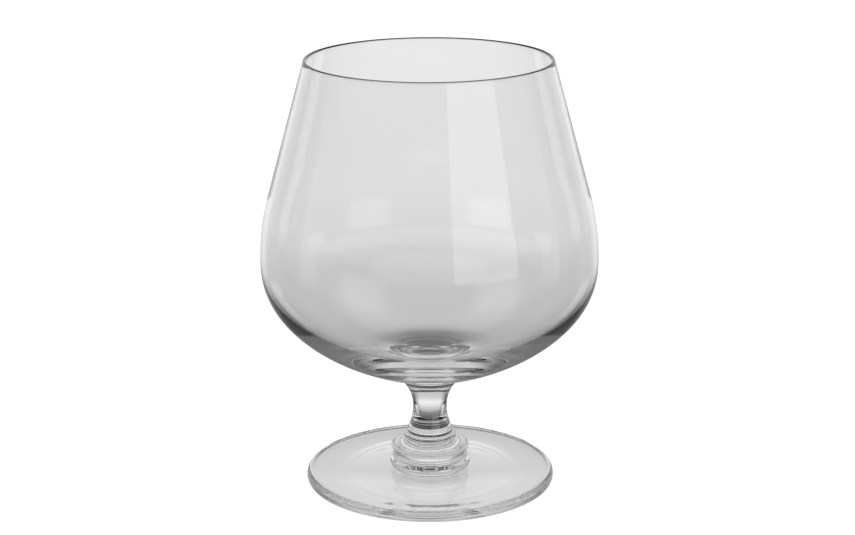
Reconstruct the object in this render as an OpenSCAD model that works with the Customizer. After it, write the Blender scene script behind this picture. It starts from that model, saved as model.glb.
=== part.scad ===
// Brandy snifter of clear blown glass, 130 mm tall, in millimetres.
// It stands on z = 0 and its axis is the z axis.
// Five pieces are welded face to face while hot, from the table up:
// foot, knop, collar, stem and bowl. Every piece is turned about the axis.

/* [Foot] */
// Diameter of the foot
foot_d = 75.6; // [60:0.2:95]
// Height of the foot's edge
foot_edge_h = 3.4; // [3.1:0.1:5]
// Thickness of the foot where the knop stands on it
foot_centre_h = 3.6; // [3:0.1:8]
// Width of the rolled bead along the edge
foot_bead_w = 2.4; // [2:0.1:4]
// How far the bead stands above the face inside it
foot_bead_rise = 0.3; // [0.1:0.05:0.8]
// Share of the bead's inner side that stays level with its crest
bead_level_share = 0.4; // [0.1:0.05:0.8]
// Radius of the edge's upper corner
foot_top_round = 1.6; // [0.5:0.1:1.8]
// Radius of the edge's lower corner
foot_low_round = 1.4; // [0.3:0.1:1.7]
// Width of the flat standing ring under the foot, out to the edge
foot_ring_w = 9.8; // [4:0.2:20]
// Width of the slope from the standing ring into the hollow
hollow_slope_w = 4; // [0.5:0.1:6]
// Height of that slope
hollow_slope_h = 0.15; // [0.1:0.05:0.8]
// Height of the hollow under the middle of the foot
hollow_h = 0.9; // [0.4:0.05:1.5]

/* [Knop] */
// Height of the knop, the squat drum between foot and collar
knop_h = 5.4; // [4:0.1:12]
// Largest diameter of the knop
knop_d = 24.7; // [22:0.1:34]
// Diameter of the knop's welded face on the foot
knop_foot_d = 20.6; // [14:0.1:21.8]
// Diameter of the knop's welded face under the collar
knop_top_d = 22.4; // [20:0.1:22.6]
// Height of the knop's widest point above the foot, as a share of its height
knop_wide_share = 0.3; // [0.2:0.01:0.7]

/* [Collar] */
// Height of the collar from the knop to the stem
collar_h = 6; // [5:0.1:9]
// Diameter of the ring near the collar's lower edge
ring_d = 23.8; // [23.4:0.1:34]
// Thickness of that ring, which has a full round edge
ring_t = 1.3; // [0.8:0.1:1.8]
// Height of the ring above the knop, which its underside climbs from the groove
ring_rise = 0.8; // [0.4:0.1:1.6]
// Diameter of the shoulder between the ring and the stem
shoulder_d = 15.8; // [14.6:0.1:18]
// Height of the shoulder's round above the skirt
shoulder_h = 1.3; // [0.5:0.1:1.6]

/* [Stem] */
// Diameter of the welded face between stem and collar
stem_seam_d = 13.6; // [12.8:0.1:13.6]
// Diameter of the bead at the stem's foot
bead_d = 13.7; // [13.7:0.1:14.2]
// Radius of that bead's round
bead_round = 2.2; // [0.8:0.1:3.2]
// Height of the waist, the stem's narrowest place, above the collar
waist_h = 8.2; // [6:0.1:30]
// Diameter of the waist
waist_d = 10.3; // [7:0.1:12]
// Where the stem ends and the bowl's stub begins, as a share of the flare's turn
seam_share = 0.5; // [0.3:0.05:0.7]

/* [Bowl] */
// Diameter at which the stem's flare leaves the bowl's underside
neck_d = 27; // [22:0.5:34]
// Largest outside diameter of the bowl
belly_d = 101; // [88:0.5:116]
// Depth of the bowl's outside from the belly to the lowest point of its curve
belly_depth = 37.9; // [30:0.1:48]
// Height of the rim above the belly
rim_rise = 60.4; // [45:0.1:80]
// Outside diameter of the rim
rim_d = 73.6; // [60:0.2:84]
// Radius of the bowl's outline just above the belly
shoulder_round = 75; // [45:1:95]
// Thickness of the glass at the rim, which has a full round edge
rim_wall = 1; // [0.8:0.05:1.6]
// Thickness of the glass at the belly
belly_wall = 1.5; // [0.9:0.05:2.5]
// Glass between the lowest points of the outside curve and the inside curve
low_wall = 3.95; // [2:0.05:7]
// Height of the flat pad in the floor above the inside curve's lowest point
pad_h = 3.2; // [1:0.1:6]

/* [Hidden] */

glass = [0.84, 0.86, 0.87, 0.45];

// Segments of each turned surface, and steps along a round of the outline
turned_fn = 120;
round_steps = 8;
curve_steps = 26;

// Powers of the curve under the belly: (r / radius)^u + (depth / depth)^v = 1
outside_u = 1.47;
outside_v = 2.21;
inside_u = 1.457;
inside_v = 2.247;

// How sharply the pad turns into the wall
pad_power = 6;

// Heights of the welded faces between the pieces
knop_z = foot_centre_h;
collar_z = knop_z + knop_h;
stem_z = collar_z + collar_h;

// Outline helpers, all in the plane of radius and height

// Points of an arc about a centre, from one angle to another
function arc(centre, radius, from, to, steps = round_steps) = [
    for (i = [0:steps])
        let (a = from + (to - from) * i / steps)
            centre + radius * [cos(a), sin(a)]
];

// Points of the curve under the belly, from the angle "from" at the bottom to 90 at the belly
function under_curve(radius, depth, u, v, belly_z, from = 0) = [
    for (i = [0:curve_steps])
        let (a = from + (90 - from) * i / curve_steps)
            [radius * pow(sin(a), 2 / u), belly_z - depth * pow(max(cos(a), 0), 2 / v)]
];

// Angle at which the line from a circle at the belly touches it on its way to the lip
function touch_angle(centre, radius, lip) =
    let (d = lip - centre)
        atan2(d[1], d[0]) - acos(min(1, radius / norm(d)));

// A solid turned from its half outline
module turned(outline) {
    color(glass)
        rotate_extrude($fn = turned_fn)
            polygon(outline);
}

// Foot: a flat disc with a rolled bead at its edge and a shallow hollow beneath
foot_r = foot_d / 2;
bead_in_r = foot_r - foot_bead_w;
ring_in_r = foot_r - foot_ring_w;
hollow_r = ring_in_r - hollow_slope_w;
bead_crest_r = foot_r - max(foot_top_round, foot_bead_w / 2);

module foot() {
    turned(concat(
        [[0, hollow_h]],
        // The hollow's dome, then its slope down to the standing ring
        [for (i = [1:round_steps])
            let (share = i / round_steps)
                [hollow_r * share, hollow_h - (hollow_h - hollow_slope_h) * share * share]],
        [[ring_in_r, 0]],
        arc([foot_r - foot_low_round, foot_low_round], foot_low_round, -90, 0),
        arc([foot_r - foot_top_round, foot_edge_h - foot_top_round], foot_top_round, 0, 90),
        [[bead_crest_r + (bead_in_r - bead_crest_r) * bead_level_share, foot_edge_h],
         [bead_in_r, foot_edge_h - foot_bead_rise],
         [knop_foot_d / 2, knop_z],
         [0, knop_z]]
    ));
}

// Knop: a squat drum, widest low down and drawn in to a groove under the collar
knop_wide_h = knop_h * knop_wide_share;

function knop_r(h) =
    let (below = h < knop_wide_h,
         end_r = (below ? knop_foot_d : knop_top_d) / 2,
         reach = below ? knop_wide_h : knop_h - knop_wide_h,
         share = abs(h - knop_wide_h) / reach,
         bulge_share = below ? sqrt(1 - 0.9 * share * share) - sqrt(0.1) * share
             : (1 + cos(180 * share)) / 2)
        end_r + (knop_d / 2 - end_r) * bulge_share;

module knop() {
    turned(concat(
        [[0, knop_z]],
        [for (i = [0:2 * round_steps])
            let (h = knop_h * i / (2 * round_steps))
                [knop_r(h), knop_z + h]],
        [[0, collar_z]]
    ));
}

// Collar: a thin ring above the groove, whose skirt climbs to a round shoulder under the stem
ring_round = ring_t / 2;
ring_centre = [ring_d / 2 - ring_round, collar_z + ring_rise + ring_round];
groove = [knop_top_d / 2, collar_z];
// Angle at which the line from the groove touches the ring's round
groove_reach = groove - ring_centre;
groove_turn = atan2(groove_reach[1], groove_reach[0]) + acos(ring_round / norm(groove_reach));
shoulder_r = shoulder_d / 2;
shoulder_z = stem_z - shoulder_h;
skirt_out_r = ring_d / 2 - ring_round;
skirt_out_z = ring_centre[1] + ring_round;

module collar() {
    turned(concat(
        [[0, collar_z], groove],
        arc(ring_centre, ring_round, groove_turn, 90),
        // The skirt, a hollow curve up to the shoulder
        [for (i = [1:round_steps])
            let (share = i / round_steps)
                [skirt_out_r + (shoulder_r - skirt_out_r) * share,
                 skirt_out_z + (shoulder_z - skirt_out_z) * pow(share, 1.4)]],
        // The shoulder, a quarter of an ellipse in to the weld
        [for (i = [1:round_steps])
            let (a = 90 * i / round_steps)
                [stem_seam_d / 2 + (shoulder_r - stem_seam_d / 2) * cos(a),
                 shoulder_z + shoulder_h * sin(a)]],
        [[0, stem_z]]
    ));
}

// Stem: a bead, a flare in to the waist, and a flare out to the bowl's stub
waist_r = waist_d / 2;
bead_r = bead_d / 2;
bead_turn = acos(1 - (bead_r - stem_seam_d / 2) / bead_round);
bead_z = stem_z + bead_round * sin(bead_turn);
waist_z = stem_z + waist_h;
low_turn = 2 * atan((bead_r - waist_r) / (waist_z - bead_z));
low_flare_r = (waist_z - bead_z) / sin(low_turn) - bead_round;

// The upper flare touches the curve under the bowl at the neck
neck_share = pow(neck_d / belly_d, outside_u);
neck_slope = atan(belly_depth * outside_u / outside_v * neck_share
    * pow(1 - neck_share, 1 / outside_v - 1) / (neck_d / 2));
top_flare_r = (neck_d / 2 - waist_r) / (1 - sin(neck_slope));
flare_centre = [waist_r + top_flare_r, waist_z];
seam_turn = (90 - neck_slope) * seam_share;
seam_r = flare_centre[0] - top_flare_r * cos(seam_turn);
seam_z = waist_z + top_flare_r * sin(seam_turn);

module stem() {
    turned(concat(
        [[0, stem_z]],
        arc([bead_r - bead_round, bead_z], bead_round, -bead_turn, low_turn),
        arc([waist_r + low_flare_r, waist_z], low_flare_r, 180 + low_turn, 180),
        arc(flare_centre, top_flare_r, 180, 180 - seam_turn),
        [[0, seam_z]]
    ));
}

// Bowl: a thin shell with a stub below, widest low down and drawn in to the rim
belly_r = belly_d / 2;
neck_z = waist_z + top_flare_r * cos(neck_slope);
belly_z = neck_z + belly_depth * pow(1 - neck_share, 1 / outside_v);
total_h = belly_z + rim_rise;
neck_angle = asin(sqrt(neck_share));
rim_round = rim_wall / 2;
lip = [rim_d / 2, total_h - rim_round];
lip_in = lip - [rim_wall, 0];
out_centre = [belly_r - shoulder_round, belly_z];
in_round = shoulder_round - belly_wall;
in_centre = [belly_r - belly_wall - in_round, belly_z];

module bowl() {
    outside = concat(
        arc(flare_centre, top_flare_r, 180 - seam_turn, 90 + neck_slope),
        under_curve(belly_r, belly_depth, outside_u, outside_v, belly_z, neck_angle),
        arc(out_centre, shoulder_round, 0, touch_angle(out_centre, shoulder_round, lip))
    );
    curve = under_curve(belly_r - belly_wall, belly_depth - low_wall, inside_u, inside_v, belly_z);
    lowest_z = curve[0][1];
    inside = concat(
        [for (i = [0:len(curve) - 2])
            let (rise = curve[i][1] - lowest_z)
                [curve[i][0],
                 lowest_z + pow(pow(pad_h, pad_power) + pow(rise, pad_power), 1 / pad_power)]],
        arc(in_centre, in_round, 0, touch_angle(in_centre, in_round, lip_in))
    );
    turned(concat(
        [[0, seam_z]],
        outside,
        arc(lip - [rim_round, 0], rim_round, 0, 180),
        [for (i = [len(inside) - 1:-1:0]) inside[i]]
    ));
}

foot();
knop();
collar();
stem();
bowl();
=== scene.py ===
"""Looks of a blown brandy snifter: five fused pieces of clear glass on a pale studio floor.

Every piece is turned again from the outline that its solid has, but smoother, in one shared frame.
"""

import math

import bpy
from mathutils import Matrix, Vector, noise


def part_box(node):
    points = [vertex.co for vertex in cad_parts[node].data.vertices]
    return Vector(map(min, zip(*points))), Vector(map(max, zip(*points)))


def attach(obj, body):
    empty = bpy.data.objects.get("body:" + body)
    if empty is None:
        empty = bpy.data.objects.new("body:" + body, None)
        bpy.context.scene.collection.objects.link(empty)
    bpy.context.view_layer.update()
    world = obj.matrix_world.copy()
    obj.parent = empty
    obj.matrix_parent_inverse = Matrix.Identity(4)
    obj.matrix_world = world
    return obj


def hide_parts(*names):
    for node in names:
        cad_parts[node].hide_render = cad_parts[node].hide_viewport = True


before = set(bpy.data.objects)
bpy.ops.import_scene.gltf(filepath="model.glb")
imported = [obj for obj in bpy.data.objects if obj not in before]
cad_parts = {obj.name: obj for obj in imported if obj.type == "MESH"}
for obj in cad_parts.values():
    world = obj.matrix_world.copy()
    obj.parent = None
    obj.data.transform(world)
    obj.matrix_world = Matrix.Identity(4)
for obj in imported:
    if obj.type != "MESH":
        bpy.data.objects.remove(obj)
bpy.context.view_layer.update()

bl_info = {
    "name": "Brandy Snifter",
    "version": (1, 0, 0),
    "blender": (4, 5, 0),
    "location": "3D View > Sidebar > Snifter",
    "description": "Turns the fused glass pieces of a brandy snifter and sets its studio",
    "category": "Add Mesh",
}

MM = 0.001

# Widths and heights of the solids, which the turned pieces keep
FOOT_LOW, FOOT_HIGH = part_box("foot")
KNOP_LOW, KNOP_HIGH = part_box("knop")
COLLAR_LOW, COLLAR_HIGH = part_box("collar")
STEM_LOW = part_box("stem")[0]
BOWL_LOW, BOWL_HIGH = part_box("bowl")


def width(low, high):
    """Diameter of a turned solid."""
    return high.x - low.x


def linear(hex_colour):
    """Linear RGBA of an sRGB hex colour."""
    channels = [int(hex_colour[i : i + 2], 16) / 255 for i in (1, 3, 5)]
    return [
        c / 12.92 if c <= 0.04045 else ((c + 0.055) / 1.055) ** 2.4 for c in channels
    ] + [1.0]


def length_property(name, description, default):
    """A size in metres, shown in the scene's unit."""
    return bpy.props.FloatProperty(
        name=name, description=description, default=default, min=0, unit="LENGTH", precision=5
    )


class SnifterFootSizes(bpy.types.PropertyGroup):
    """Sizes of the foot."""

    across: length_property("Foot", "Diameter of the foot", width(FOOT_LOW, FOOT_HIGH))
    edge_h: length_property("Edge", "Height of the foot's edge", 3.4 * MM)
    centre_h: length_property("Centre", "Thickness under the knop", FOOT_HIGH.z)
    bead_w: length_property("Bead", "Width of the rolled bead at the edge", 2.4 * MM)
    bead_rise: length_property("Bead rise", "Height of the bead above the face inside it", 0.3 * MM)
    top_round: length_property("Upper round", "Radius of the edge's upper corner", 1.6 * MM)
    low_round: length_property("Lower round", "Radius of the edge's lower corner", 1.4 * MM)
    ring_w: length_property("Standing ring", "From the edge to where the ring ends", 9.8 * MM)
    slope_w: length_property("Slope", "Width of the slope into the hollow", 4 * MM)
    slope_h: length_property("Slope height", "Height of that slope", 0.15 * MM)
    hollow_h: length_property("Hollow", "Height of the hollow in the middle", 0.9 * MM)


class SnifterStemSizes(bpy.types.PropertyGroup):
    """Sizes of the knop, the collar and the stem."""

    knop_d: length_property("Knop", "Largest diameter of the knop", width(KNOP_LOW, KNOP_HIGH))
    knop_foot_d: length_property("Knop foot", "Diameter of its weld to the foot", 20.6 * MM)
    knop_top_d: length_property("Knop top", "Diameter of its weld to the collar", 22.4 * MM)
    ring_d: length_property("Ring", "Diameter of the collar's ring", width(COLLAR_LOW, COLLAR_HIGH))
    ring_t: length_property("Ring thickness", "Thickness of that ring", 1.3 * MM)
    ring_rise: length_property("Ring rise", "Height of that ring above the knop", 0.8 * MM)
    shoulder_d: length_property("Shoulder", "Diameter of the collar's shoulder", 15.8 * MM)
    shoulder_h: length_property("Shoulder height", "Height of the shoulder's round", 1.3 * MM)
    seam_d: length_property("Stem weld", "Diameter of the weld under the stem", 13.6 * MM)
    bead_d: length_property("Bead", "Diameter of the bead at the stem's foot", 13.7 * MM)
    bead_round: length_property("Bead round", "Radius of that bead's round", 2.2 * MM)
    waist_h: length_property("Waist height", "Height of the waist above the collar", 8.2 * MM)
    waist_d: length_property("Waist", "Diameter of the waist", 10.3 * MM)


class SnifterBowlSizes(bpy.types.PropertyGroup):
    """Sizes of the bowl."""

    neck_d: length_property("Neck", "Diameter at which the flare leaves the bowl", 27 * MM)
    belly_d: length_property("Belly", "Largest diameter", width(BOWL_LOW, BOWL_HIGH))
    belly_depth: length_property("Depth", "Depth of the outside below the belly", 37.9 * MM)
    rim_d: length_property("Rim", "Outside diameter of the rim", 73.6 * MM)
    shoulder_round: length_property("Shoulder", "Radius of the outline above the belly", 75 * MM)
    rim_wall: length_property("Rim wall", "Thickness of the glass at the rim", 1 * MM)
    belly_wall: length_property("Belly wall", "Thickness of the glass at the belly", 1.5 * MM)
    low_wall: length_property("Low wall", "Glass under the inside curve's lowest point", 3.95 * MM)
    pad_h: length_property("Pad", "Height of the flat pad above that point", 3.2 * MM)


class SnifterFinish(bpy.types.PropertyGroup):
    """Colour and surface of the glass."""

    tint: bpy.props.FloatVectorProperty(
        name="Tint", description="Colour of light that has crossed the glass", subtype="COLOR",
        size=3, min=0, max=1, default=linear("#fbfbfb")[:3],
    )
    ior: bpy.props.FloatProperty(
        name="IOR", description="Refractive index of crystal glass", default=1.52, min=1, max=2
    )
    wave: length_property("Waves", "Depth of the slow waves in the hand-worked pieces", 0.05 * MM)
    wave_length: length_property("Wave length", "Distance between those waves", 6 * MM)


class SnifterStage(bpy.types.PropertyGroup):
    """Floor, light and camera."""

    lens: length_property("Lens", "Focal length of the camera", 88 * MM)
    distance: length_property("Distance", "Camera's distance in front of the axis", 601.7 * MM)
    height: length_property("Height", "Camera's height above the floor", 239.9 * MM)
    pitch: bpy.props.FloatProperty(
        name="Pitch", description="How far the camera looks down", subtype="ANGLE",
        default=math.radians(16.06),
    )
    roll: bpy.props.FloatProperty(
        name="Roll", description="Turn of the camera about its view", subtype="ANGLE",
        default=math.radians(-0.2),
    )
    aside: length_property("Aside", "How far left of the axis the camera stands", 0.6 * MM)
    key_power: bpy.props.FloatProperty(
        name="Key", description="Power of each soft lamp", default=2.7, min=0
    )


SETTINGS = {
    "snifter_foot": SnifterFootSizes,
    "snifter_stem": SnifterStemSizes,
    "snifter_bowl": SnifterBowlSizes,
    "snifter_finish": SnifterFinish,
    "snifter_stage": SnifterStage,
}


# Outlines, in the plane of radius and height

ROUND_STEPS = 14
CURVE_STEPS = 90
SHOULDER_STEPS = 24
WALL_STEPS = 30
GROOVE_STEPS = 6

# Powers u and v of the curve under the belly: (radius / widest)^u + (drop / depth)^v = 1
OUTSIDE_POWERS = (1.47, 2.21)
INSIDE_POWERS = (1.457, 2.247)
# How sharply the flat pad in the floor turns into the wall
PAD_POWER = 6
# How far up the knop it is widest, and how square its round meets the foot
KNOP_WIDE_SHARE = 0.3
KNOP_SQUARE_SHARE = 0.1
# How hard the collar's skirt hollows on its climb from ring to shoulder
SKIRT_POWER = 1.4
# How far along the upper flare the stem ends and the bowl's stub begins
SEAM_SHARE = 0.5


def arc(centre, radius, start, end, steps=ROUND_STEPS):
    """Points of an arc about a centre, its angles in degrees."""
    angles = [math.radians(start + (end - start) * i / steps) for i in range(steps + 1)]
    return [(centre[0] + radius * math.cos(a), centre[1] + radius * math.sin(a)) for a in angles]


def under_curve(radius, depth, powers, belly_z, start=0.0):
    """Points of the curve under the belly, from an angle at the bottom up to the belly."""
    points = []
    for i in range(CURVE_STEPS + 1):
        a = math.radians(start + (90 - start) * i / CURVE_STEPS)
        reach = max(math.cos(a), 0)
        points.append(
            (radius * math.sin(a) ** (2 / powers[0]), belly_z - depth * reach ** (2 / powers[1]))
        )
    return points


def touch_angle(centre, radius, lip):
    """Angle at which the line from a circle touches it on its way to the lip."""
    across, up = lip[0] - centre[0], lip[1] - centre[1]
    away = math.hypot(across, up)
    return math.degrees(math.atan2(up, across) - math.acos(min(1, radius / away)))


def line(start, end, steps):
    """Points along a straight line, without its two ends."""
    return [
        tuple(a + (b - a) * i / steps for a, b in zip(start, end)) for i in range(1, steps)
    ]


def foot_outline(s, stem):
    """Half outline of the foot, up to its weld with the knop."""
    foot_r = s.across / 2
    bead_in_r = foot_r - s.bead_w
    ring_in_r = foot_r - s.ring_w
    hollow_r = ring_in_r - s.slope_w
    crest_r = foot_r - max(s.top_round, s.bead_w / 2)
    points = [(0, s.hollow_h)]
    for i in range(1, CURVE_STEPS + 1):
        share = i / CURVE_STEPS
        points.append((hollow_r * share, s.hollow_h - (s.hollow_h - s.slope_h) * share * share))
    for i in range(1, ROUND_STEPS + 1):
        share = i / ROUND_STEPS
        fall = (1 + math.cos(math.pi * share)) / 2
        points.append((hollow_r + s.slope_w * share, s.slope_h * fall))
    points += arc((foot_r - s.low_round, s.low_round), s.low_round, -90, 0)
    points += arc((foot_r - s.top_round, s.edge_h - s.top_round), s.top_round, 0, 90)
    for i in range(1, ROUND_STEPS + 1):
        share = i / ROUND_STEPS
        fall = (1 - math.cos(math.pi * share)) / 2
        points.append((crest_r + (bead_in_r - crest_r) * share, s.edge_h - s.bead_rise * fall))
    top = (stem.knop_foot_d / 2, s.centre_h)
    points += line(points[-1], top, CURVE_STEPS // 3)
    return points + [top, (0, s.centre_h)]


def knop_outline(s):
    """Half outline of the knop."""
    low, high = KNOP_LOW.z, KNOP_HIGH.z
    wide_h = (high - low) * KNOP_WIDE_SHARE
    points = [(0, low)]
    steps = 3 * ROUND_STEPS
    for i in range(steps + 1):
        h = (high - low) * i / steps
        end_r = (s.knop_foot_d if h < wide_h else s.knop_top_d) / 2
        reach = wide_h if h < wide_h else high - low - wide_h
        share = abs(h - wide_h) / reach
        if h < wide_h:
            curve = math.sqrt(1 - (1 - KNOP_SQUARE_SHARE) * share * share)
            bulge = curve - math.sqrt(KNOP_SQUARE_SHARE) * share
        else:
            bulge = (1 + math.cos(math.pi * share)) / 2
        points.append((end_r + (s.knop_d / 2 - end_r) * bulge, low + h))
    return points + [(0, high)]


def collar_outline(s):
    """Half outline of the collar."""
    low, high = COLLAR_LOW.z, COLLAR_HIGH.z
    ring_round = s.ring_t / 2
    shoulder_r, seam_r = s.shoulder_d / 2, s.seam_d / 2
    shoulder_z = high - s.shoulder_h
    out_r, out_z = s.ring_d / 2 - ring_round, low + s.ring_rise + s.ring_t
    centre = (out_r, out_z - ring_round)
    groove = (s.knop_top_d / 2, low)
    # The ring's underside slopes in to the groove
    across, up = groove[0] - centre[0], groove[1] - centre[1]
    turn = math.atan2(up, across) + math.acos(ring_round / math.hypot(across, up))
    round_edge = arc(centre, ring_round, math.degrees(turn), 90)
    points = [(0, low), groove] + line(groove, round_edge[0], GROOVE_STEPS) + round_edge
    for i in range(1, 2 * ROUND_STEPS + 1):
        share = i / (2 * ROUND_STEPS)
        climb = (shoulder_z - out_z) * share**SKIRT_POWER
        points.append((out_r + (shoulder_r - out_r) * share, out_z + climb))
    for i in range(1, ROUND_STEPS + 1):
        a = math.pi / 2 * i / ROUND_STEPS
        points.append(
            (seam_r + (shoulder_r - seam_r) * math.cos(a), shoulder_z + s.shoulder_h * math.sin(a))
        )
    return points + [(0, high)]


def flare(stem, bowl):
    """Centre, radius and angles of the upper flare, and the height of the belly."""
    waist_r, neck_r = stem.waist_d / 2, bowl.neck_d / 2
    waist_z = STEM_LOW.z + stem.waist_h
    u, v = OUTSIDE_POWERS
    share = (bowl.neck_d / bowl.belly_d) ** u
    steep = bowl.belly_depth * u / v * share * (1 - share) ** (1 / v - 1) / neck_r
    slope = math.degrees(math.atan(steep))
    radius = (neck_r - waist_r) / (1 - math.sin(math.radians(slope)))
    neck_z = waist_z + radius * math.cos(math.radians(slope))
    return {
        "centre": (waist_r + radius, waist_z),
        "radius": radius,
        "seam": 180 - (90 - slope) * SEAM_SHARE,
        "end": 90 + slope,
        "belly_z": neck_z + bowl.belly_depth * (1 - share) ** (1 / v),
        "start": math.degrees(math.asin(math.sqrt(share))),
    }


def stem_outline(s, bowl):
    """Half outline of the stem."""
    top = flare(s, bowl)
    bead_r, waist_r = s.bead_d / 2, s.waist_d / 2
    bead_turn = math.degrees(math.acos(1 - (bead_r - s.seam_d / 2) / s.bead_round))
    bead_z = STEM_LOW.z + s.bead_round * math.sin(math.radians(bead_turn))
    waist_z = STEM_LOW.z + s.waist_h
    low_turn = 2 * math.degrees(math.atan((bead_r - waist_r) / (waist_z - bead_z)))
    low_r = (waist_z - bead_z) / math.sin(math.radians(low_turn)) - s.bead_round
    points = [(0, STEM_LOW.z)]
    points += arc((bead_r - s.bead_round, bead_z), s.bead_round, -bead_turn, low_turn)
    points += arc((waist_r + low_r, waist_z), low_r, 180 + low_turn, 180, 2 * ROUND_STEPS)
    points += arc(top["centre"], top["radius"], 180, top["seam"], 2 * ROUND_STEPS)
    return points + [(0, points[-1][1])]


def bowl_outline(s, stem):
    """Half outline of the bowl, up its outside, over the rim and down inside."""
    top = flare(stem, s)
    belly_r, belly_z = s.belly_d / 2, top["belly_z"]
    rim_round = s.rim_wall / 2
    lip = (s.rim_d / 2, BOWL_HIGH.z - rim_round)
    lip_in = (lip[0] - s.rim_wall, lip[1])
    out_centre = (belly_r - s.shoulder_round, belly_z)
    in_round = s.shoulder_round - s.belly_wall
    points = arc(top["centre"], top["radius"], top["seam"], top["end"], 2 * ROUND_STEPS)
    points = [(0, points[0][1])] + points
    points += under_curve(belly_r, s.belly_depth, OUTSIDE_POWERS, belly_z, top["start"])
    turn = touch_angle(out_centre, s.shoulder_round, lip)
    points += arc(out_centre, s.shoulder_round, 0, turn, SHOULDER_STEPS)
    points += line(points[-1], lip, WALL_STEPS)
    points += arc((lip[0] - rim_round, lip[1]), rim_round, 0, 180)
    curve = under_curve(
        belly_r - s.belly_wall, s.belly_depth - s.low_wall, INSIDE_POWERS, belly_z
    )
    lowest = curve[0][1]
    inside = []
    for radius, height in curve[:-1]:
        rise = (s.pad_h**PAD_POWER + (height - lowest) ** PAD_POWER) ** (1 / PAD_POWER)
        inside.append((radius, lowest + rise))
    turn = touch_angle(out_centre, in_round, lip_in)
    inside += arc(out_centre, in_round, 0, turn, SHOULDER_STEPS)
    inside += line(inside[-1], lip_in, WALL_STEPS)
    return points + inside[::-1]


# Turning an outline into a closed mesh

SEGMENTS = 192
SAME = 1e-7
CREASE = math.radians(28)


def turned_mesh(name, outline, weld_heights, shift):
    """A closed mesh of a half outline turned about the axis, its weld faces in the second slot."""
    rings = []
    for point in outline:
        if not rings or math.dist(point, rings[-1]) > SAME:
            rings.append(point)
    points, starts = [], []
    for radius, height in rings:
        starts.append(len(points))
        count = 1 if radius < SAME else SEGMENTS
        for k in range(count):
            a = 2 * math.pi * k / SEGMENTS
            points.append(Vector((radius * math.cos(a), radius * math.sin(a), height)))
    faces, slots = [], []
    for i in range(len(rings) - 1):
        (r0, z0), (r1, z1) = rings[i], rings[i + 1]
        flat = abs(z0 - z1) < SAME and any(abs(z0 - w) < SAME for w in weld_heights)
        weld = 1 if flat and min(r0, r1) < SAME else 0
        for k in range(SEGMENTS):
            n = (k + 1) % SEGMENTS
            a, b = starts[i], starts[i + 1]
            if r0 < SAME:
                faces.append((a, b + n, b + k))
            elif r1 < SAME:
                faces.append((a + k, a + n, b))
            else:
                faces.append((a + k, a + n, b + n, b + k))
            slots.append(weld)
    mesh = bpy.data.meshes.new(name)
    mesh.from_pydata([p + shift(p) for p in points], [], faces)
    mesh.polygons.foreach_set("material_index", slots)
    mesh.polygons.foreach_set("use_smooth", [True] * len(faces))
    mesh.update()
    mesh.set_sharp_from_angle(angle=CREASE)
    return mesh


def hand_waves(point):
    """A slow, shallow shift of a point, as tools and heat leave on a worked surface."""
    finish = bpy.context.scene.snifter_finish
    reach = math.hypot(point.x, point.y)
    if reach < finish.wave_length / 2:
        return Vector()
    outward = Vector((point.x, point.y, 0)) / reach
    return outward * noise.noise(point / finish.wave_length) * finish.wave


def no_waves(point):
    """No shift, for a surface that blowing or pressing left true."""
    return Vector()


# Materials


def add_node(tree, kind, inputs=(), **settings):
    """Adds a node with its settings. Each input takes a value, or a link from another socket."""
    node = tree.nodes.new(kind)
    for name, value in settings.items():
        setattr(node, name, value)
    for name, value in dict(inputs).items():
        if isinstance(value, bpy.types.NodeSocket):
            tree.links.new(value, node.inputs[name])
        else:
            node.inputs[name].default_value = value
    return node


def new_material(name):
    """An empty material and its output node."""
    material = bpy.data.materials.new(name)
    material.use_nodes = True
    material.node_tree.nodes.clear()
    return material, add_node(material.node_tree, "ShaderNodeOutputMaterial")


# The faint waves that a blown surface keeps, by their spacing, depth and strength
POLISH_SPACING = 9 * MM
POLISH_DEPTH = 0.1 * MM
POLISH_STRENGTH = 0.08


def fire_polished_glass():
    """Crystal glass, blown and fire polished: clear, hard and glossy, with faint slow waves.

    Shadow and diffuse rays run straight through it, so its shadow is soft and clear.
    """
    name = "fire_polished_crystal_glass"
    if name in bpy.data.materials:
        return bpy.data.materials[name]
    finish = bpy.context.scene.snifter_finish
    material, output = new_material(name)
    tree = material.node_tree
    coords = add_node(tree, "ShaderNodeTexCoord")
    waves = add_node(
        tree, "ShaderNodeTexNoise",
        {"Vector": coords.outputs["Object"], "Scale": 1 / POLISH_SPACING, "Detail": 1,
         "Roughness": 0.4},
    )
    bump = add_node(
        tree, "ShaderNodeBump",
        {"Height": waves.outputs["Fac"], "Strength": POLISH_STRENGTH, "Distance": POLISH_DEPTH},
    )
    shader = add_node(
        tree, "ShaderNodeBsdfPrincipled",
        {"Base Color": (*finish.tint, 1), "Roughness": 0, "IOR": finish.ior,
         "Transmission Weight": 1, "Normal": bump.outputs["Normal"]},
    )
    path = add_node(tree, "ShaderNodeLightPath")
    lighting = add_node(
        tree, "ShaderNodeMath",
        {0: path.outputs["Is Shadow Ray"], 1: path.outputs["Is Diffuse Ray"]},
        operation="MAXIMUM",
    )
    passing = add_node(tree, "ShaderNodeBsdfTransparent", {"Color": linear("#f7f8f8")})
    mix = add_node(
        tree, "ShaderNodeMixShader",
        {0: lighting.outputs[0], 1: shader.outputs[0], 2: passing.outputs[0]},
    )
    tree.links.new(mix.outputs[0], output.inputs["Surface"])
    return material


def fused_weld():
    """A weld between two gathers: the glass runs through it, so it bends and stops no light."""
    name = "fused_glass_weld"
    if name in bpy.data.materials:
        return bpy.data.materials[name]
    material, output = new_material(name)
    clear = add_node(material.node_tree, "ShaderNodeBsdfTransparent", {"Color": linear("#ffffff")})
    material.node_tree.links.new(clear.outputs["BSDF"], output.inputs["Surface"])
    return material


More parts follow.
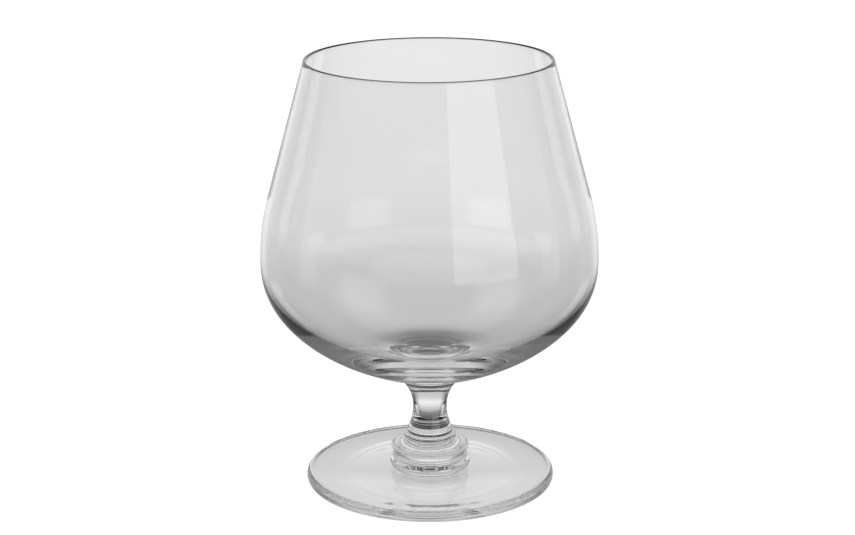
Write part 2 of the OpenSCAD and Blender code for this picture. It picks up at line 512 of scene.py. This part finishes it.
def add_piece(name, node, outline, welds, shift):
    """A turned glass piece that rides on the glass and stands for its solid."""
    mesh = turned_mesh(name, outline, welds, shift)
    mesh.materials.append(fire_polished_glass())
    mesh.materials.append(fused_weld())
    piece = bpy.data.objects.new(name, mesh)
    bpy.context.scene.collection.objects.link(piece)
    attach(piece, "root")
    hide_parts(node)


# Operators


class SNIFTER_OT_foot(bpy.types.Operator):
    """Turns the flat round foot with its rolled bead and its hollow."""

    bl_idname = "snifter.foot"
    bl_label = "Foot"

    def execute(self, context):
        outline = foot_outline(context.scene.snifter_foot, context.scene.snifter_stem)
        add_piece("turned_foot", "foot", outline, [FOOT_HIGH.z], no_waves)
        return {"FINISHED"}


class SNIFTER_OT_knop(bpy.types.Operator):
    """Turns the squat knop between foot and collar."""

    bl_idname = "snifter.knop"
    bl_label = "Knop"

    def execute(self, context):
        outline = knop_outline(context.scene.snifter_stem)
        add_piece("turned_knop", "knop", outline, [KNOP_LOW.z, KNOP_HIGH.z], hand_waves)
        return {"FINISHED"}


class SNIFTER_OT_collar(bpy.types.Operator):
    """Turns the ringed collar with its skirt and shoulder."""

    bl_idname = "snifter.collar"
    bl_label = "Collar"

    def execute(self, context):
        outline = collar_outline(context.scene.snifter_stem)
        add_piece("turned_collar", "collar", outline, [COLLAR_LOW.z, COLLAR_HIGH.z], hand_waves)
        return {"FINISHED"}


class SNIFTER_OT_stem(bpy.types.Operator):
    """Turns the short waisted stem."""

    bl_idname = "snifter.stem"
    bl_label = "Stem"

    def execute(self, context):
        outline = stem_outline(context.scene.snifter_stem, context.scene.snifter_bowl)
        add_piece("turned_stem", "stem", outline, [outline[0][1], outline[-1][1]], no_waves)
        return {"FINISHED"}


class SNIFTER_OT_bowl(bpy.types.Operator):
    """Turns the thin bowl with its stub and round rim."""

    bl_idname = "snifter.bowl"
    bl_label = "Bowl"

    def execute(self, context):
        outline = bowl_outline(context.scene.snifter_bowl, context.scene.snifter_stem)
        add_piece("turned_bowl", "bowl", outline, [outline[0][1]], no_waves)
        return {"FINISHED"}


class SNIFTER_OT_stage(bpy.types.Operator):
    """Lays the pale floor, hangs the soft lamps and sets up the camera."""

    bl_idname = "snifter.stage"
    bl_label = "Stage"

    def execute(self, context):
        stage = context.scene.snifter_stage
        add_floor()
        add_world()
        add_lamps(stage)
        add_camera(stage)
        context.scene.view_settings.view_transform = "Standard"
        cycles = context.scene.cycles
        cycles.transmission_bounces = cycles.glossy_bounces = GLASS_BOUNCES
        cycles.max_bounces = ALL_BOUNCES
        cycles.transparent_max_bounces = CLEAR_BOUNCES
        return {"FINISHED"}


FLOOR_HALF = 3.0
FLOOR_GAP = 0.05 * MM
# How far the floor shines by itself to the eye, so that it ends in the white backdrop
FLOOR_GLOW = 0.6

# Light turns many times in thick glass before it leaves
GLASS_BOUNCES = 26
ALL_BOUNCES = 30
CLEAR_BOUNCES = 32

# A share of nothing and of everything, as colours
NONE = (0, 0, 0, 1)
ALL = (1, 1, 1, 1)

# What the glass shows of the room, from straight down (0) over the horizon (0.5) to straight up
BEHIND = [
    (0.0, 0.02), (0.1, 0.05), (0.19, 0.15), (0.25, 0.36), (0.31, 0.62), (0.35, 0.75), (0.38, 0.9),
    (0.44, 0.95), (0.5, 0.75), (0.58, 0.62), (0.72, 0.64), (0.78, 0.35), (0.86, 0.7), (0.93, 0.7),
    (0.97, 0.1), (1.0, 0.1),
]
BESIDE = [
    (0.0, 0.0), (0.2, 0.02), (0.4, 0.04), (0.5, 0.15), (0.6, 0.12), (0.75, 0.15), (0.82, 0.2),
    (0.88, 0.8), (0.94, 0.8), (0.97, 0.1), (1.0, 0.1),
]
BEFORE = [(0.0, 0.0), (0.48, 0.0), (0.52, 0.6), (0.64, 0.6), (0.74, 0.05), (1.0, 0.1)]
# The same for what the outside of the glass mirrors
MIRRORED_BEHIND = [(0.0, 0.5), (0.25, 0.2), (0.45, 0.85), (0.65, 0.9), (0.8, 0.1), (1.0, 0.1)]
MIRRORED_BEFORE = [(0.0, 0.9), (0.25, 0.7), (0.42, 0.1), (0.8, 0.02), (0.86, 0.8), (1.0, 0.8)]
# Shares of "beside" and "behind", by the turn from straight before the glass to straight behind it
ASIDE = [(0.0, 0.0), (0.45, 0.0), (0.6, 1.0), (1.0, 1.0)]
AWAY = [(0.0, 0.0), (0.84, 0.0), (0.95, 1.0), (1.0, 1.0)]
MIRRORED_AWAY = [(0.0, 0.0), (0.45, 0.0), (0.82, 1.0), (1.0, 1.0)]
# The paper close to the glass, by the distance from the axis as a share of this reach
PATCH_REACH = 50 * MM
# Painted light on the paper under the front half of the foot, and how brightly all that painted
# light glows
PAINTED_LIGHT_UNDER_FOOT = [
    (0.0, 0.0), (0.2, 0.0), (0.32, 0.8), (0.5, 0.8), (0.62, 0.2), (0.72, 0.2), (0.76, 0.0),
    (1.0, 0.0),
]
PAINTED_LIGHT_GLOW = 0.85
# Where the front half ends, from the front (0) to the back (1) of this depth about the axis
PATCH_DEPTH = 100 * MM
FRONT_HALF = [(0.0, 1.0), (0.4, 1.0), (0.5, 0.0), (1.0, 0.0)]
# Painted light on the paper just outside the foot
PAINTED_LIGHT_AROUND = [(0.0, 0.0), (0.752, 0.0), (0.757, 0.9), (0.785, 0.9), (0.8, 0.0), (1.0, 0.0)]
# A painted line of shade at the front under the standing ring's inner edge, and where it breaks
PAINTED_SHADE_LINE = [(0.0, 0.0), (0.565, 0.0), (0.585, 1.0), (0.605, 1.0), (0.625, 0.0), (1.0, 0.0)]
TO_FRONT = [(0.0, 1.0), (0.225, 1.0), (0.24, 0.0), (1.0, 0.0)]
BREAK_SPACING = 7 * MM
BREAKS = [(0.0, 0.1), (0.42, 0.1), (0.5, 0.8), (1.0, 0.8)]
# Lit boards that stand around: where each is, by its turn and by its height as above
BOARDS = [
    ([(0.0, 0.0), (0.78, 0.0), (0.81, 1.0), (0.89, 1.0), (0.91, 0.0), (1.0, 0.0)],
     [(0.0, 0.0), (0.15, 0.0), (0.2, 1.0), (0.335, 1.0), (0.36, 0.0), (1.0, 0.0)]),
    ([(0.0, 0.0), (0.42, 0.0), (0.44, 1.0), (0.56, 1.0), (0.58, 0.0), (1.0, 0.0)],
     [(0.0, 0.0), (0.36, 0.0), (0.4, 1.0), (0.54, 1.0), (0.57, 0.0), (1.0, 0.0)]),
    ([(0.0, 0.0), (0.05, 0.0), (0.08, 1.0), (0.23, 1.0), (0.27, 0.0), (1.0, 0.0)],
     [(0.0, 0.0), (0.26, 0.0), (0.3, 1.0), (0.43, 1.0), (0.47, 0.0), (1.0, 0.0)]),
]
BOARD_GLOW = 0.8
# A tall window before the glass, to the right: its direction, and how its light ends aside and up
WINDOW_TO = (0.616, -0.788, 0.0)
WINDOW_SIDES = [(0.0, 0.0), (0.963, 0.0), (0.965, 1.0), (1.0, 1.0)]
WINDOW_HEIGHT = [(0.0, 0.0), (0.43, 0.0), (0.44, 1.0), (0.68, 1.0), (0.7, 0.0), (1.0, 0.0)]
WINDOW_GLOW = 1.7
# Even light that the room throws on the floor
FILL_LIGHT = 0.5


def grey(level):
    """A grey of a level of light, 1 being white."""
    return (level, level, level, 1)


def add_ramp(tree, socket, stops):
    """A grey ramp with a level at each place."""
    ramp = add_node(tree, "ShaderNodeValToRGB", {"Fac": socket})
    elements = ramp.color_ramp.elements
    while len(elements) < len(stops):
        elements.new(0.5)
    for element, (place, level) in zip(elements, stops):
        element.position = place
        element.color = grey(level)
    return ramp.outputs["Color"]


def halved(tree, socket):
    """A value between -1 and 1 brought between 0 and 1."""
    half = add_node(tree, "ShaderNodeMath", {0: socket, 1: 0.5}, operation="MULTIPLY").outputs[0]
    return add_node(tree, "ShaderNodeMath", {0: half, 1: 0.5}, operation="ADD").outputs[0]


def blend(tree, share, start, end):
    """A colour between two others."""
    return add_node(
        tree, "ShaderNodeMix", {"Factor": share, "A": start, "B": end}, data_type="RGBA"
    ).outputs[2]


def near_foot(tree, place):
    """Shares of painted light and of painted shade on the paper close to the foot, which only glass
    shows.
    """
    distance = add_node(tree, "ShaderNodeVectorMath", {0: place}, operation="LENGTH")
    reach = add_node(
        tree, "ShaderNodeMath", {0: distance.outputs["Value"], 1: 1 / PATCH_REACH},
        operation="MULTIPLY",
    ).outputs[0]
    split = add_node(tree, "ShaderNodeSeparateXYZ", {"Vector": place})
    back = add_node(
        tree, "ShaderNodeMath", {0: split.outputs["Y"], 1: 1 / PATCH_DEPTH, 2: 0.5},
        operation="MULTIPLY_ADD",
    ).outputs[0]
    # Painted light on the paper under the front half of the foot and just outside it
    lit = blend(tree, add_ramp(tree, back, FRONT_HALF), NONE, add_ramp(tree, reach, PAINTED_LIGHT_UNDER_FOOT))
    lit = blend(tree, add_ramp(tree, reach, PAINTED_LIGHT_AROUND), lit, ALL)
    breaks = add_node(
        tree, "ShaderNodeTexNoise", {"Vector": place, "Scale": 1 / BREAK_SPACING, "Detail": 1}
    )
    # Painted shade: a line broken by noise, at the front under the standing ring's inner edge
    shade = add_ramp(tree, breaks.outputs["Fac"], BREAKS)
    shade = blend(tree, add_ramp(tree, back, TO_FRONT), NONE, shade)
    shade = blend(tree, add_ramp(tree, reach, PAINTED_SHADE_LINE), NONE, shade)
    return blend(tree, shade, lit, NONE), shade


def matt_white_studio_paper():
    """Uncoated paper off a roll: matt, without gloss, and pale enough to end in the backdrop.

    It keeps the glass's shadow. Through glass it gives way to the room's lower half, but for the
    painted light and the painted line of shade on the paper close to the foot.
    """
    material, output = new_material("matt_white_studio_paper")
    tree = material.node_tree
    path = add_node(tree, "ShaderNodeLightPath")
    coords = add_node(tree, "ShaderNodeTexCoord")
    lit, shade = near_foot(tree, coords.outputs["Object"])
    # Where the painted line of shade lies, the paper lets less of the room through to the glass
    clear = add_node(
        tree, "ShaderNodeBsdfTransparent", {"Color": blend(tree, shade, ALL, NONE)}
    )
    # Painted light: where it lies, the paper glows by itself for glass rays, with no lamp behind it
    painted_light_patch = add_node(
        tree, "ShaderNodeEmission", {"Color": linear("#ffffff"), "Strength": PAINTED_LIGHT_GLOW}
    )
    through = add_node(
        tree, "ShaderNodeMixShader", {0: lit, 1: clear.outputs[0], 2: painted_light_patch.outputs[0]}
    )
    glow = add_node(
        tree, "ShaderNodeEmission", {"Color": linear("#ffffff"), "Strength": FLOOR_GLOW}
    )
    paper = add_node(tree, "ShaderNodeBsdfDiffuse", {"Color": linear("#f6f6f6")})
    direct = add_node(tree, "ShaderNodeAddShader", {0: glow.outputs[0], 1: paper.outputs[0]})
    seen = add_node(
        tree, "ShaderNodeMixShader",
        {0: path.outputs["Is Camera Ray"], 1: paper.outputs[0], 2: direct.outputs[0]},
    )
    by_glass = add_node(
        tree, "ShaderNodeMath",
        {0: path.outputs["Is Glossy Ray"], 1: path.outputs["Is Transmission Ray"]},
        operation="MAXIMUM",
    )
    mix = add_node(
        tree, "ShaderNodeMixShader",
        {0: by_glass.outputs[0], 1: seen.outputs[0], 2: through.outputs[0]},
    )
    tree.links.new(mix.outputs[0], output.inputs["Surface"])
    return material


def add_floor():
    """A wide floor of white paper under the glass."""
    corners = [(-FLOOR_HALF, -FLOOR_HALF), (FLOOR_HALF, -FLOOR_HALF)]
    corners += [(-x, -y) for x, y in corners]
    mesh = bpy.data.meshes.new("studio_floor")
    mesh.from_pydata([(x, y, -FLOOR_GAP) for x, y in corners], [], [(0, 1, 2, 3)])
    mesh.materials.append(matt_white_studio_paper())
    floor = bpy.data.objects.new("studio_floor", mesh)
    bpy.context.scene.collection.objects.link(floor)


def room_through_glass(tree, turn, height):
    """The room that the glass shows: a lit sweep behind it, dark around, and the lit boards."""
    near = blend(
        tree, add_ramp(tree, turn, ASIDE),
        add_ramp(tree, height, BEFORE), add_ramp(tree, height, BESIDE),
    )
    room = blend(tree, add_ramp(tree, turn, AWAY), near, add_ramp(tree, height, BEHIND))
    for turns, heights in BOARDS:
        lit = blend(tree, add_ramp(tree, turn, turns), NONE, add_ramp(tree, height, heights))
        room = blend(tree, lit, room, grey(BOARD_GLOW))
    return room


def mirrored_room(tree, turn, height, heading, depth):
    """The room that the glass mirrors, with the window in its outermost reflection alone."""
    room = blend(
        tree, add_ramp(tree, turn, MIRRORED_AWAY),
        add_ramp(tree, height, MIRRORED_BEFORE), add_ramp(tree, height, MIRRORED_BEHIND),
    )
    facing = add_node(
        tree, "ShaderNodeVectorMath", {0: heading, 1: WINDOW_TO}, operation="DOT_PRODUCT"
    )
    sides = add_ramp(tree, halved(tree, facing.outputs["Value"]), WINDOW_SIDES)
    window = blend(tree, sides, NONE, add_ramp(tree, height, WINDOW_HEIGHT))
    outermost = add_node(tree, "ShaderNodeMath", {0: depth, 1: 0.5}, operation="LESS_THAN")
    window = blend(tree, outermost.outputs[0], NONE, window)
    return blend(tree, window, room, grey(WINDOW_GLOW))


def add_world():
    """A white backdrop for the eye, even light for the floor, and a room for the glass."""
    world = bpy.data.worlds.new("studio")
    bpy.context.scene.world = world
    world.use_nodes = True
    tree = world.node_tree
    tree.nodes.clear()
    output = add_node(tree, "ShaderNodeOutputWorld")
    path = add_node(tree, "ShaderNodeLightPath")
    coords = add_node(tree, "ShaderNodeTexCoord")
    split = add_node(tree, "ShaderNodeSeparateXYZ", {"Vector": coords.outputs["Generated"]})
    height = halved(tree, split.outputs["Z"])
    level = add_node(
        tree, "ShaderNodeCombineXYZ", {"X": split.outputs["X"], "Y": split.outputs["Y"]}
    )
    heading = add_node(
        tree, "ShaderNodeVectorMath", {0: level.outputs[0]}, operation="NORMALIZE"
    ).outputs[0]
    turn = halved(tree, add_node(tree, "ShaderNodeSeparateXYZ", {"Vector": heading}).outputs["Y"])
    through = room_through_glass(tree, turn, height)
    mirrored = mirrored_room(tree, turn, height, heading, path.outputs["Transmission Depth"])
    room = add_node(
        tree, "ShaderNodeBackground",
        {"Color": blend(tree, path.outputs["Is Transmission Ray"], mirrored, through)},
    )
    even = add_node(
        tree, "ShaderNodeBackground", {"Color": linear("#ffffff"), "Strength": FILL_LIGHT}
    )
    backdrop = add_node(
        tree, "ShaderNodeBackground", {"Color": linear("#ffffff"), "Strength": 1}
    )
    unlit = add_node(
        tree, "ShaderNodeMixShader",
        {0: path.outputs["Is Diffuse Ray"], 1: room.outputs[0], 2: even.outputs[0]},
    )
    mix = add_node(
        tree, "ShaderNodeMixShader",
        {0: path.outputs["Is Camera Ray"], 1: unlit.outputs[0], 2: backdrop.outputs[0]},
    )
    tree.links.new(mix.outputs[0], output.inputs["Surface"])


# Soft boxes: a wide one at the right that stands low, and one overhead, by place, aim and size
SOFT_BOXES = {
    "window_box": ((1.0, -1.28, 0.3), (0, 0, 0.3), (1.3, 0.6)),
    "top_box": ((0, 0.1, 1.6), (0, 0, 0), (1.2, 1.2)),
}


def add_soft_box(name, place, aim, size, power):
    """A rectangular soft lamp that looks at a point and that no glass shows."""
    lamp = bpy.data.lights.new(name, "AREA")
    lamp.shape = "RECTANGLE"
    lamp.size, lamp.size_y = size
    lamp.energy = power
    box = bpy.data.objects.new(name, lamp)
    box.location = place
    box.rotation_euler = (Vector(aim) - Vector(place)).to_track_quat("-Z", "Y").to_euler()
    box.visible_glossy = box.visible_transmission = False
    bpy.context.scene.collection.objects.link(box)


def add_lamps(stage):
    """Hangs the soft boxes."""
    for name, (place, aim, size) in SOFT_BOXES.items():
        add_soft_box(name, place, aim, size, stage.key_power)


# In millimetres, as a camera's lens is
SENSOR_WIDTH = 36


def add_camera(stage):
    """The camera at the photograph's viewing angle."""
    data = bpy.data.cameras.new("camera")
    data.sensor_width = SENSOR_WIDTH
    data.lens = stage.lens / MM
    camera = bpy.data.objects.new("camera", data)
    bpy.context.scene.collection.objects.link(camera)
    tilt = Matrix.Rotation(math.pi / 2 - stage.pitch, 4, "X")
    roll = Matrix.Rotation(stage.roll, 4, "Z")
    place = Matrix.Translation((-stage.aside, -stage.distance, stage.height))
    camera.matrix_world = place @ tilt @ roll
    bpy.context.scene.camera = camera


class SNIFTER_PT_panel(bpy.types.Panel):
    """Buttons that make the pieces, and the sizes they are made to."""

    bl_idname = "SNIFTER_PT_panel"
    bl_label = "Brandy Snifter"
    bl_space_type = "VIEW_3D"
    bl_region_type = "UI"
    bl_category = "Snifter"

    def draw(self, context):
        for operator in OPERATORS:
            self.layout.operator(operator.bl_idname)
        for name, group in SETTINGS.items():
            box = self.layout.box()
            for setting in group.__annotations__:
                box.prop(getattr(context.scene, name), setting)


OPERATORS = (
    SNIFTER_OT_foot,
    SNIFTER_OT_knop,
    SNIFTER_OT_collar,
    SNIFTER_OT_stem,
    SNIFTER_OT_bowl,
    SNIFTER_OT_stage,
)


def register():
    """Adds the settings, operators and panel."""
    for group in SETTINGS.values():
        bpy.utils.register_class(group)
    for name, group in SETTINGS.items():
        setattr(bpy.types.Scene, name, bpy.props.PointerProperty(type=group))
    for operator in OPERATORS:
        bpy.utils.register_class(operator)
    bpy.utils.register_class(SNIFTER_PT_panel)


def unregister():
    """Takes them out again."""
    bpy.utils.unregister_class(SNIFTER_PT_panel)
    for operator in reversed(OPERATORS):
        bpy.utils.unregister_class(operator)
    for name, group in SETTINGS.items():
        delattr(bpy.types.Scene, name)
        bpy.utils.unregister_class(group)


def main():
    """Makes every piece and the stage."""
    register()
    bpy.ops.snifter.foot()
    bpy.ops.snifter.knop()
    bpy.ops.snifter.collar()
    bpy.ops.snifter.stem()
    bpy.ops.snifter.bowl()
    bpy.ops.snifter.stage()


if __name__ == "__main__":
    main()
